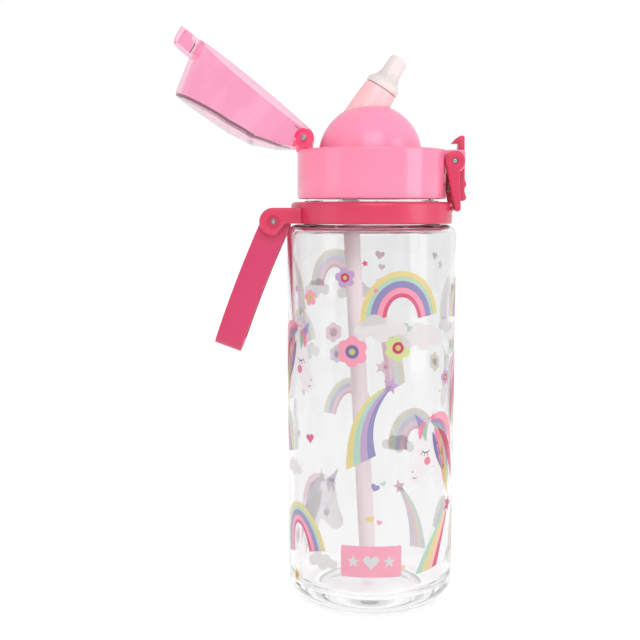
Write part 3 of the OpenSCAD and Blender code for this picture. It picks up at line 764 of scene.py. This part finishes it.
def dome_shell():
    """A half ball with a clip-in flange, its wall made by an inner profile."""
    out_low = math.degrees(math.asin((flange_z + 0.00175 - dome_z) / dome_r))
    in_low = math.degrees(math.asin((flange_z - dome_z) / (dome_r - dome_t)))
    bm = turned(arc(0, 0, dome_r, out_low, 90, 28) + arc(0, 0, dome_r - dome_t, 90, in_low, 20)
                + [(cap_bore - 0.0012, flange_z - dome_z), (cap_bore - 0.0012, flange_z + 0.0017 - dome_z)],
                steps=128)
    bmesh.ops.translate(bm, vec=(dome_x, 0, dome_z), verts=bm.verts)
    return bm


spout_way = rod(root + 0.001 * aim, aim, 2 * (stem_l + 0.0136), nozzle_r + 0.0013, sides=96)
vent_way = rod(vent_at + Vector((0, 0, flange_z)), (0, 0, 1), 0.01, vent_r, sides=32)
dome = combined(dome_shell(), [spout_way, vent_way], "DIFFERENCE")
piece("spout_dome_shell", dome, "lid", dome_pink, ["spout_dome"], crease=40)

straw_top = Vector((dome_x - 0.009, 0, mouth_z + 0.0009))
straw_r = 0.0034
socket_r = 0.00595
plate = turned([(0, mouth_z + 0.0001), (neck_bore - 0.0005, mouth_z + 0.0001),
                (neck_bore - 0.0002, mouth_z + 0.0004), (neck_bore - 0.0002, flange_z - 0.0003),
                (neck_bore - 0.0004, flange_z - 0.00005), (0, flange_z - 0.00005)])
plate = combined(plate, [rod((straw_top.x, 0, mouth_z), (0, 0, 1), 0.01, socket_r + 0.00005, sides=64)],
                 "DIFFERENCE")
piece("lid_underplate", plate, "lid", dome_pink, ["lid_plate"])

vent = turned([(0.0006, flange_z + 0.001), (0.0006, cap_top - 0.0006), (0.0008, cap_top - 0.0004),
               (0.0012, cap_top - 0.0004), (vent_r - 0.00003, cap_top - 0.0007),
               (vent_r - 0.00003, flange_z), (0, flange_z), (0, flange_z + 0.001)], steps=32)
bmesh.ops.translate(vent, vec=vent_at, verts=vent.verts)
piece("air_vent", vent, "lid", soft_white, ["vent_valve"])


# ---------------------------------------------------------------- Straw and soft spout
# An extruded straw pushed into a silicone socket under the lid, and one silicone spout above: a foot
# in the dome, a stem on a body of its own, and a firmer cloudy mouthpiece on it.

straw_plastic = plastic("straw_plastic", (248, 228, 230), (250, 233, 235), rough=0.3, grain=0.03,
                        Subsurface_Weight=0.2, Subsurface_Scale=0.002, Subsurface_Radius=(1, 0.85, 0.85),
                        Coat_Weight=0.2)
stem_silicone = plastic("stem_silicone", (246, 186, 190), (250, 196, 198), rough=0.36, grain=0.04,
                        Subsurface_Weight=0.3, Subsurface_Scale=0.003, Subsurface_Radius=(1, 0.8, 0.8),
                        Coat_Weight=0.15)
mouth_silicone = plastic("mouthpiece_silicone", (218, 206, 205), (224, 213, 211), rough=0.4, grain=0.04,
                         Subsurface_Weight=0.3, Subsurface_Scale=0.003, Subsurface_Radius=(1, 0.9, 0.88),
                         Coat_Weight=0.1)

straw_lean = math.radians(3)
on_straw = Matrix.Translation(straw_top) @ Matrix.Rotation(-straw_lean, 4, "Y")
straw_l = (straw_top.z - floor_z - 0.0025) / math.cos(straw_lean) - 0.0002
wall_in = straw_r - 0.0006
straw = turned([(wall_in, -straw_l + 0.0001), (wall_in + 0.0001, -straw_l), (straw_r - 0.0001, -straw_l),
                (straw_r, -straw_l + 0.0001), (straw_r, -0.0001), (straw_r - 0.0001, 0),
                (wall_in + 0.0001, 0),
                (wall_in, -0.0001)], steps=64)
bmesh.ops.transform(straw, matrix=on_straw, verts=straw.verts)
piece("drinking_straw", straw, "lid", straw_plastic, ["straw"])

grip_l = 0.011
grip = turned([(straw_r + 0.00003, -grip_l), (straw_r + 0.0012, -grip_l),
               (straw_r + 0.0015, -grip_l + 0.0003),
               (straw_r + 0.0015, -0.0004), (straw_r + 0.00003, -0.0004)], steps=64)
bmesh.ops.transform(grip, matrix=on_straw, verts=grip.verts)
collar = turned([(straw_r + 0.00025, mouth_z + 0.0001), (socket_r - 0.0002, mouth_z + 0.0001),
                 (socket_r, mouth_z + 0.0003), (socket_r, flange_z - 0.0003),
                 (socket_r - 0.0002, flange_z - 0.00005),
                 (straw_r + 0.00025, flange_z - 0.00005)], steps=64)
bmesh.ops.translate(collar, vec=(straw_top.x, 0, 0), verts=collar.verts)
piece("straw_grip", combined(grip, [collar]), "lid", soft_white, ["straw_socket"])

on_spout = Matrix.Translation(root) @ Matrix.Rotation(spout_lean, 4, "Y")


def ball(radius, sides=96):
    """A ball the size of the dome's inside or outside, for fitting the soft spout to it."""
    bm = bmesh.new()
    bmesh.ops.create_uvsphere(bm, u_segments=sides, v_segments=sides // 2, radius=radius)
    bmesh.ops.translate(bm, vec=(dome_x, 0, dome_z), verts=bm.verts)
    return bm


foot_r = nozzle_r + 0.0009
foot = turned([(foot_r - soft_t, -0.04), (foot_r, -0.04), (foot_r, 0.01), (foot_r - soft_t, 0.01)], steps=96)
bmesh.ops.transform(foot, matrix=on_spout, verts=foot.verts)
disc_r = 0.0086
foot_disc = turned([(straw_r, 0.0001), (disc_r - 0.0003, 0.0001), (disc_r, 0.0004), (disc_r, 0.0014),
                    (disc_r - 0.0003, 0.0017), (straw_r, 0.0017)], steps=96)
bmesh.ops.translate(foot_disc, vec=(straw_top.x, 0, flange_z), verts=foot_disc.verts)
foot = combined(foot, [ball(dome_r - dome_t - 0.0003)], "INTERSECT")
block = slab([(-0.03, flange_z + 0.0005), (0.03, flange_z + 0.0005), (0.03, 0.22), (-0.03, 0.22)],
             -0.03, 0.03)
foot = combined(combined(foot, [block], "INTERSECT"), [foot_disc])
piece("spout_foot", foot, "lid", stem_silicone, ["spout_base"])

low_r = nozzle_r + 0.001
high_r = nozzle_r - 0.00015
stem = turned([(low_r - soft_t, -stem_l - 0.009), (low_r, -stem_l - 0.009),
               (low_r - 0.00035, -stem_l - 0.003),
               (high_r + 0.0003, -0.004), (high_r + 0.0001, -0.0012), (high_r - 0.0002, -0.0003),
               (high_r - 0.0005, -0.0001), (high_r - soft_t, -0.0001)], steps=96)
bmesh.ops.transform(stem, matrix=on_spout, verts=stem.verts)
stem = combined(stem, [ball(dome_r - 0.0006)], "DIFFERENCE")
stem_piece = piece("soft_stem", stem, "stem", stem_silicone, ["spout_stem"])

waist = nozzle_tip_r + 0.00035
waist_z = nozzle_l * 0.62
root_h = 0.0022
swell = [i / 10 for i in range(1, 11)]
mouth = turned(
    [(nozzle_r - soft_t, 0.0003), (nozzle_r - 0.0006, 0)] + arc(nozzle_r - 0.0003, 0.0004, 0.0003, -60, 0, 3)
    + [(nozzle_r, root_h - 0.0006), (nozzle_r - 0.0001, root_h)]
    + [(nozzle_r - 0.0001 + (waist - nozzle_r) * math.sin(math.pi / 2 * t),
        root_h + (waist_z - root_h) * t * (0.6 + 0.4 * t)) for t in swell]
    + arc(nozzle_tip_r - 0.0015, nozzle_l - 0.0015, 0.0015, 0, 80, 6)
    + [(0.0017, nozzle_l - 0.0001), (0.0014, nozzle_l - 0.0004), (0.0014, nozzle_l - 0.0025),
       (waist - soft_t, waist_z), (nozzle_r - soft_t, root_h)], steps=96)
bmesh.ops.transform(mouth, matrix=on_spout, verts=mouth.verts)
mouth_piece = piece("soft_mouthpiece", mouth, "mouthpiece", mouth_silicone,
                    ["spout_mouthpiece"])
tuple(joint["stem_fold"]["pos_m"])
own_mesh(stem_piece)
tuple(joint["mouthpiece_fold"]["pos_m"])
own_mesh(mouth_piece)


# ---------------------------------------------------------------- Flip cover
# A clear pink shell injection moulded in one shot: a round wall that leans in, a crown that rises from
# the hinge, two knuckles that ride on a steel pin, and a hollow tab that the latch's hook holds.

cover_pink = lets_lamps_through(
    plastic("clear_pink_cover", (253, 200, 221), (254, 206, 225), rough=0.05, grain=0.01,
            grain_scale=80, marks=0.05, Transmission_Weight=1.0, IOR=1.3, Specular_IOR_Level=0.5),
    (1.0, 0.62, 0.76, 1))

rim_z = cap_top + 0.00045
cover_r = cap_r - 0.0006
cover_t = 0.0018
crown = dome_top + 0.0054 - hinge.z
reach = cover_r - 0.0055 - hinge.x
sag_r = 0.107
crown_line = [(-0.0029, 0.003), (0.0015, crown * 0.352), (0.0062, crown * 0.536),
              (reach * 0.304, crown * 0.801),
              (reach * 0.494, crown * 0.908), (reach * 0.743, crown * 0.964), (reach * 1.06, crown * 1.003)]
wall_line = [(cover_r, rim_z), (cover_r - 0.0014, rim_z + 0.009), (cover_r - 0.0053, rim_z + 0.0223),
             (cover_r - 0.0065, rim_z + 0.026)]


def along_line(line, at, axis=0):
    """The other coordinate of a line of points where one coordinate has a given value."""
    value = 1 - axis
    for low, high in zip(line, line[1:]):
        if at <= high[axis] or high is line[-1]:
            return low[value] + (high[value] - low[value]) * (at - low[axis]) / (high[axis] - low[axis])


def crown_height(x, y):
    """Height of the crown's outer skin over a point, curved along and across."""
    rise = along_line(crown_line, x - hinge.x) - crown + sag_r
    return hinge.z + crown - sag_r + math.sqrt(max(rise * rise - y * y, 0))


def wall_radius(z):
    return along_line(wall_line, z, axis=1)


def cover_skin(inset, wall_steps=14, crown_steps=26, sides=144, corner=0.0022):
    """The cover's outside, or its inside when drawn in: a turned blank whose rings are pressed to shape."""
    rings = wall_steps + crown_steps
    profile = [(cover_r * (1 - i / rings), rim_z + 0.0001 * i) for i in range(rings)]
    bm = bmesh.new()
    rim = [bm.verts.new((r, 0, z)) for r, z in profile]
    edges = [bm.edges.new(pair) for pair in zip(rim, rim[1:])]
    bmesh.ops.spin(bm, geom=rim + edges, cent=(0, 0, 0), axis=(0, 0, 1), angle=math.tau, steps=sides,
                   use_merge=True)
    bmesh.ops.remove_doubles(bm, verts=bm.verts, dist=2e-6)
    corner = max(corner - inset, 0.0006)
    for vert in bm.verts:
        ring_no = round((vert.co.z - rim_z) / 0.0001)
        turn = math.atan2(vert.co.y, vert.co.x)
        dx, dy = math.cos(turn), math.sin(turn)
        low, high = rim_z, rim_z + 0.03
        for _ in range(40):
            z = (low + high) / 2
            r = wall_radius(z) - inset
            if z < crown_height(r * dx, r * dy) - inset:
                low = z
            else:
                high = z
        top = low
        edge_r = wall_radius(top) - inset
        if ring_no <= wall_steps:
            share = ring_no / wall_steps
            z = rim_z + (top - rim_z) * share
            vert.co = ((wall_radius(z) - inset) * dx, (wall_radius(z) - inset) * dy, z)
            near = top - z
            if near < corner:
                pull = (corner - near) ** 2 / (3.6 * corner)
                vert.co.x -= pull * dx
                vert.co.y -= pull * dy
        else:
            share = (ring_no - wall_steps) / crown_steps
            r = edge_r * (1 - share)
            vert.co = (r * dx, r * dy, crown_height(r * dx, r * dy) - inset)
            near = edge_r - r
            if near < corner:
                vert.co.z -= (corner - near) ** 2 / (3.6 * corner)
    return bm


def closed_cover(inset, low):
    """The skin closed below by a flat floor, at or under the rim."""
    bm = cover_skin(inset)
    if low < 0:
        outer = [e for e in bm.edges if e.is_boundary and math.hypot(*e.verts[0].co.xy) > 0.01]
        grown = bmesh.ops.extrude_edge_only(bm, edges=outer)
        moved = [v for v in grown["geom"] if isinstance(v, bmesh.types.BMVert)]
        bmesh.ops.translate(bm, vec=(0, 0, low), verts=moved)
    bmesh.ops.holes_fill(bm, edges=[e for e in bm.edges if e.is_boundary])
    bmesh.ops.recalc_face_normals(bm, faces=bm.faces)
    return bm


knuckle_r = 0.0042
knuckle_y = 0.0115
tab_y = 0.0069
tab_h = 0.008
tab_in = cover_r - 0.002
shell = combined(closed_cover(0, 0), [closed_cover(cover_t, -0.002)], "DIFFERENCE")
gap_box = slab([(hinge.x - 0.008, rim_z - 0.001), (hinge.x, rim_z - 0.001), (hinge.x, rim_z + 0.00405),
                (hinge.x - 0.008, rim_z + 0.00405)], -knuckle_y - 0.0005, knuckle_y + 0.0005)
shell = combined(shell, [gap_box], "DIFFERENCE")
tab = [(tab_in - 0.001, rim_z), (tab_out, rim_z), (tab_out - 0.0006, rim_z + 0.005),
       (tab_out - 0.0015, rim_z + tab_h - 0.0008), (tab_out - 0.0023, rim_z + tab_h),
       (tab_in - 0.001, rim_z + tab_h)]
shell = combined(shell, [rod(hinge, (0, 1, 0), 2 * knuckle_y, knuckle_r, 0.0004, 64),
                         slab(tab, -tab_y, tab_y, 0.0006)])
hollow = [(cover_r + 0.0002, rim_z + cover_t), (latch.x - 0.0007, rim_z + cover_t),
          (latch.x - 0.0007, rim_z - 0.001),
          (tab_out - 0.0015, rim_z - 0.001), (tab_out - 0.0021, rim_z + tab_h - 0.0015),
          (cover_r - 0.0004, rim_z + tab_h - 0.0015)]
mouth_of_tab = slab([(latch.x, rim_z - 0.001), (latch.x + 0.012, rim_z - 0.001),
                     (latch.x + 0.012, rim_z + 0.0062), (latch.x, rim_z + 0.0062)], -0.0046, 0.0046)
inside = closed_cover(cover_t, -0.002)
beyond_hinge = slab([(hinge.x - 0.02, 0.17), (hinge.x + 0.006, 0.17), (hinge.x + 0.006, 0.23),
                     (hinge.x - 0.02, 0.23)], -0.05, 0.05)
inside = combined(inside, [beyond_hinge], "DIFFERENCE")
shell = combined(shell, [inside,
                         slab(hollow, 0.0014 - tab_y, tab_y - 0.0014, 0.0004), mouth_of_tab,
                         rod(hinge, (0, 1, 0), 0.01, knuckle_r + 0.0022, sides=64),
                         rod(hinge, (0, 1, 0), 0.04, pin_r + 0.00006, sides=32)]
                 + [rod((hinge.x, side * (knuckle_y + 0.001), hinge.z), (0, 1, 0), 0.004, 0.0019, sides=48)
                    for side in (-1, 1)], "DIFFERENCE")
open_angle = math.radians(141)
swung = (Matrix.Translation(hinge) @ Matrix.Rotation(-open_angle, 4, "Y")
         @ Matrix.Translation(-hinge))
bmesh.ops.transform(shell, matrix=swung, verts=shell.verts)
piece("flip_cover_shell", shell, "cover", cover_pink, ["flip_cover"], crease=38)

# ---------------------------------------------------------------- Hinge pin, springs and latch
# Steel pins and wire springs from stock, and a latch moulded in the dark pink of the ring: a hook on a
# lever with a ribbed thumb plate, and a lock bail that swings up over the shut cover's tab.

def cad_copy(node):
    """The node's own shape with its loose triangles joined, for small turned and wound parts."""
    bm = bmesh.new()
    bm.from_mesh(frame["nodes"][node].data)
    bmesh.ops.remove_doubles(bm, verts=bm.verts, dist=1e-6)
    bmesh.ops.dissolve_limit(bm, angle_limit=math.radians(0.2), verts=bm.verts, edges=bm.edges)
    return bm


hinge_pin = rod(hinge, (0, 1, 0), 2 * knuckle_y - 0.0024, pin_r, 0.0003, 32)
piece("hinge_pin", hinge_pin, "lid", pin_steel, ["cover_hinge_pin"])
piece("hinge_spring", cad_copy("cover_spring"), "lid", spring_steel, ["cover_spring"], crease=60)
press_spring = cad_copy("latch_spring")
spring_low, spring_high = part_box("latch_spring")
spring_l = spring_high.x - spring_low.x
lever_room = 0.0009
bmesh.ops.scale(press_spring, vec=((spring_l - lever_room) / spring_l, 1, 1),
                space=Matrix.Translation((-spring_low.x, 0, 0)), verts=press_spring.verts)
piece("press_spring", press_spring, "lid", spring_steel, ["latch_spring"], crease=60)
piece("latch_pin_rod", rod(latch, (0, 1, 0), 0.0212, pin_r, 0.0003, 32), "lid", pin_steel,
      ["latch_pin"])

plate_in = latch.x + 0.002
plate_out = latch.x + 0.0046
lever_y = 0.0059
plate_low = latch.z - 0.016
hub = rod(latch, (0, 1, 0), 2 * lever_y, 0.0023, 0.0003, 48)
thumb = slab([(latch.x, latch.z - 0.002), (plate_in, latch.z - 0.002), (plate_in, plate_low),
              (plate_out, plate_low), (plate_out, latch.z + 0.002), (latch.x, latch.z + 0.002)],
             -lever_y, lever_y, 0.0005)
hook = slab([(plate_in + 0.0002, latch.z), (plate_in + 0.0004, cap_top + 0.0027),
             (latch.x - 0.0004, cap_top + 0.0027),
             (latch.x + 0.0012, cap_top + 0.0046), (latch.x + 0.003, cap_top + 0.0058),
             (latch.x + 0.0044, cap_top + 0.0056), (plate_out, cap_top + 0.0046), (plate_out, latch.z)],
            -0.0042, 0.0042, 0.0003)
ribs = [slab([(plate_out - 0.0005, z - 0.0012), (plate_out + 0.0002, z - 0.0012), (plate_out + 0.0007, z),
              (plate_out - 0.0005, z + 0.004)], -lever_y + 0.0003, lever_y - 0.0003, 0.00015, 2)
        for z in (plate_low + 0.0014, plate_low + 0.0066)]
lever = combined(thumb, [hub, hook] + ribs)
lever = combined(lever, [rod(latch, (0, 1, 0), 0.03, pin_r + 0.00006, sides=32)], "DIFFERENCE")
piece("latch_lever", lever, "latch", ring_pink, ["latch_button"])

bail_in = 0.0085
bail_out = 0.011
bail_foot = Vector((ring_r + 0.0012, 0, latch.z - 0.019))
bail_foot_r = 0.0013
boss_r = 0.00405
knee = (latch.x - 0.0006, latch.z - 0.004)
knee_r = 0.0025
arm = (arc(*knee, knee_r, 2, 184, 16)
       + arc(bail_foot.x, bail_foot.z, bail_foot_r, 184, 362, 10))
bail = []
for near, far in ((bail_in, bail_out), (-bail_out, -bail_in)):
    boss = rod((latch.x, (near + far) / 2, latch.z), (0, 1, 0), far - near, boss_r, 0.0004, 48)
    bail += [boss, slab(arm, near, far, 0.0005)]
bar = rod(bail_foot + Vector((0.0002, 0, 0)), (0, 1, 0), 2 * bail_in + 0.001, 0.0009, sides=32)
bail = combined(bail[0], bail[1:] + [bar])
bail = combined(bail, [rod(latch, (0, 1, 0), 0.03, pin_r + 0.00006, sides=32)], "DIFFERENCE")
piece("lock_bail_arms", bail, "bail", ring_pink, ["lock_bail"])


# ---------------------------------------------------------------- Studio
# A plain white floor under a white room, a broad soft lamp overhead and in front, a softer one on the
# latch side, and a camera a little below the lid that looks slightly down at the bottle.

floor_white = bpy.data.materials.new("studio_floor")
floor_white.use_nodes = True
floor_shader = floor_white.node_tree.nodes["Principled BSDF"]
floor_shader.inputs["Base Color"].default_value = (0.9, 0.9, 0.9, 1)
floor_shader.inputs["Roughness"].default_value = 0.6
floor_shader.inputs["Emission Color"].default_value = (1, 1, 1, 1)
floor_shader.inputs["Emission Strength"].default_value = 0.3
ground = bmesh.new()
bmesh.ops.create_circle(ground, cap_ends=True, segments=64, radius=6.0)
floor_mesh = bpy.data.meshes.new("floor")
ground.to_mesh(floor_mesh)
ground.free()
floor_mesh.materials.append(floor_white)
floor = bpy.data.objects.new("floor", floor_mesh)
bpy.context.scene.collection.objects.link(floor)

room = bpy.data.worlds.new("white_room")
room.use_nodes = True
wired = room.node_tree
background = wired.nodes["Background"]
ray = wired.nodes.new("ShaderNodeLightPath")
seen = wired.nodes.new("ShaderNodeMath")
seen.operation = "MAXIMUM"
strength = wired.nodes.new("ShaderNodeMapRange")
strength.inputs["To Min"].default_value = 0.8
strength.inputs["To Max"].default_value = 1.0
background.inputs["Color"].default_value = (1, 1, 1, 1)
wired.links.new(ray.outputs["Is Camera Ray"], seen.inputs[0])
wired.links.new(ray.outputs["Is Transmission Ray"], seen.inputs[1])
wired.links.new(seen.outputs["Value"], strength.inputs["Value"])
wired.links.new(strength.outputs["Result"], background.inputs["Strength"])
bpy.context.scene.world = room
bpy.context.scene.view_settings.view_transform = "Standard"

middle = Vector((0, 0, 0.13))


def soft_lamp(name, place, size, power):
    """A rectangular soft box aimed at the middle of the bottle."""
    light = bpy.data.lights.new(name, "AREA")
    light.shape = "RECTANGLE"
    light.size, light.size_y = size
    light.energy = power
    lamp = bpy.data.objects.new(name, light)
    lamp.location = place
    lamp.rotation_euler = (middle - Vector(place)).to_track_quat("-Z", "Y").to_euler()
    bpy.context.scene.collection.objects.link(lamp)


soft_lamp("overhead_soft_box", (0.05, -0.6, 0.6), (0.5, 0.4), 1.7)
soft_lamp("latch_side_soft_box", (0.75, -0.35, 0.3), (0.4, 0.7), 1.7)
soft_lamp("hinge_side_fill", (-0.8, -0.4, 0.35), (0.4, 0.7), 0.5)

lens = bpy.data.cameras.new("camera")
lens.lens = 62.15
lens.sensor_width = 36
lens.clip_start = 0.01
camera = bpy.data.objects.new("camera", lens)
camera.location = (-0.0213, -0.46, 0.1623)
camera.rotation_euler = (math.radians(90 - 5.66), 0, 0)
bpy.context.scene.collection.objects.link(camera)
bpy.context.scene.camera = camera

bpy.context.view_layer.update()
